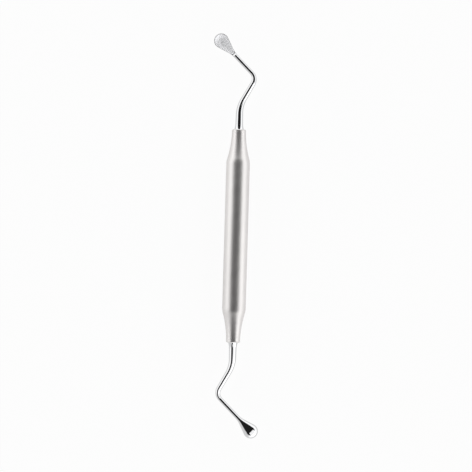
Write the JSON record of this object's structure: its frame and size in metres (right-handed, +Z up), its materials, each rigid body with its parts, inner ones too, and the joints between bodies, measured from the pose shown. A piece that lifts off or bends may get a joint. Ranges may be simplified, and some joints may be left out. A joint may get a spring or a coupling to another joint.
{
  "type": "bone curette",
  "caption": "Double-ended bone curette: slim round satin steel handle with flared necks, and polished, bent shanks that end in pear-shaped scoops facing opposite ways",
  "frame": {"origin": "on the surface that the instrument lies on, straight below the middle of the handle's axis", "axes": "+Y along the handle to the upper end, +Z up, out of the upper end's bowl; the bends of both shanks lie level, parallel to the XY plane"},
  "size_m": [0.0232, 0.1708, 0.01],
  "materials": {
    "satin_steel": "fine satin, matt blasted stainless steel",
    "polished_steel_upper": "mirror-polished stainless steel with a satin bowl",
    "polished_steel_lower": "mirror-polished stainless steel with a satin bowl"
  },
  "bodies": {
    "root": {"handle": "satin_steel", "upper_end": "polished_steel_upper", "lower_end": "polished_steel_lower"}
  },
  "joints": []
}
